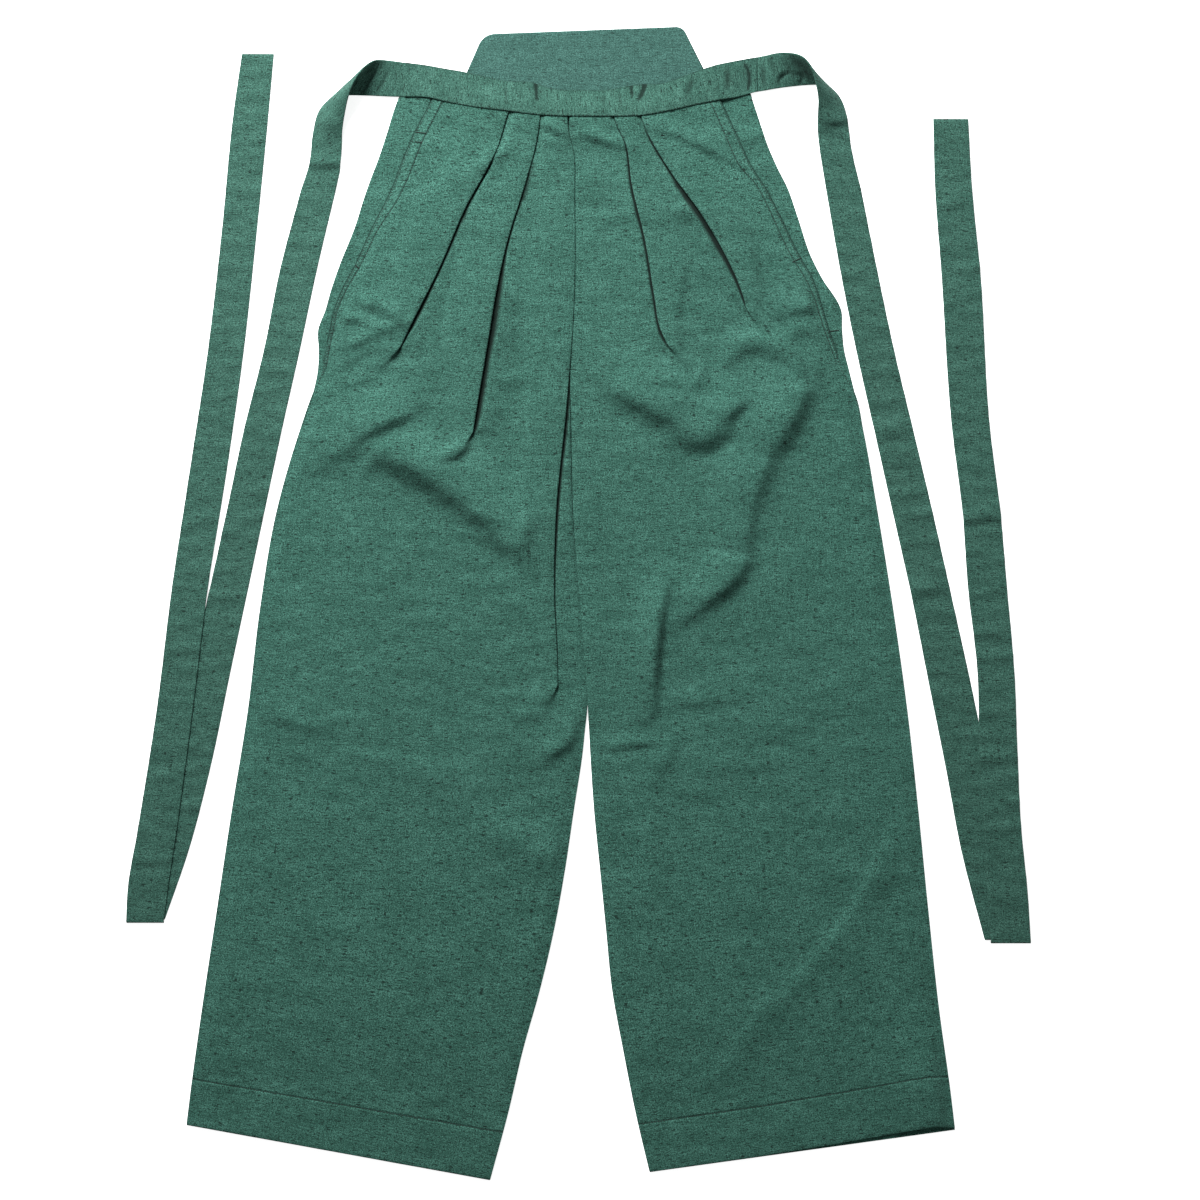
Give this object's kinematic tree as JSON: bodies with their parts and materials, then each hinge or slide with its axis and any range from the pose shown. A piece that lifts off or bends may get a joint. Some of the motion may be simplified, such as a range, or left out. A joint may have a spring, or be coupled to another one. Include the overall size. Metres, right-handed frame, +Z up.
{
  "type": "hakama trousers",
  "caption": "Wide pleated Japanese trousers laid flat, front up, with a stiff back waist board, a curved front waistband and long folded ties.",
  "frame": {"origin": "under the middle of the garment's bounding box, on the surface it lies on", "axes": "+X to the viewer's right of the laid garment, +Y towards the waist board, +Z up out of the surface"},
  "size_m": [0.7954, 1.0144, 0.0216],
  "materials": {
    "leg_cloth": "matte slubby plain-weave cotton, muted sea green",
    "tie_cloth": "matte slubby plain-weave cotton, muted sea green",
    "board_cloth": "matte slubby plain-weave cotton over a stiff core, muted sea green"
  },
  "bodies": {
    "root": {"front_panel_left": "leg_cloth", "front_panel_right": "leg_cloth", "back_panel_left": "leg_cloth", "back_panel_right": "leg_cloth", "waist_board": "board_cloth", "front_waistband": "tie_cloth", "front_tie_left_down": "tie_cloth", "front_tie_left_up": "tie_cloth", "front_tie_right_down": "tie_cloth", "front_tie_right_up": "tie_cloth", "back_tie_left": "tie_cloth", "back_tie_right": "tie_cloth"}
  },
  "joints": []
}
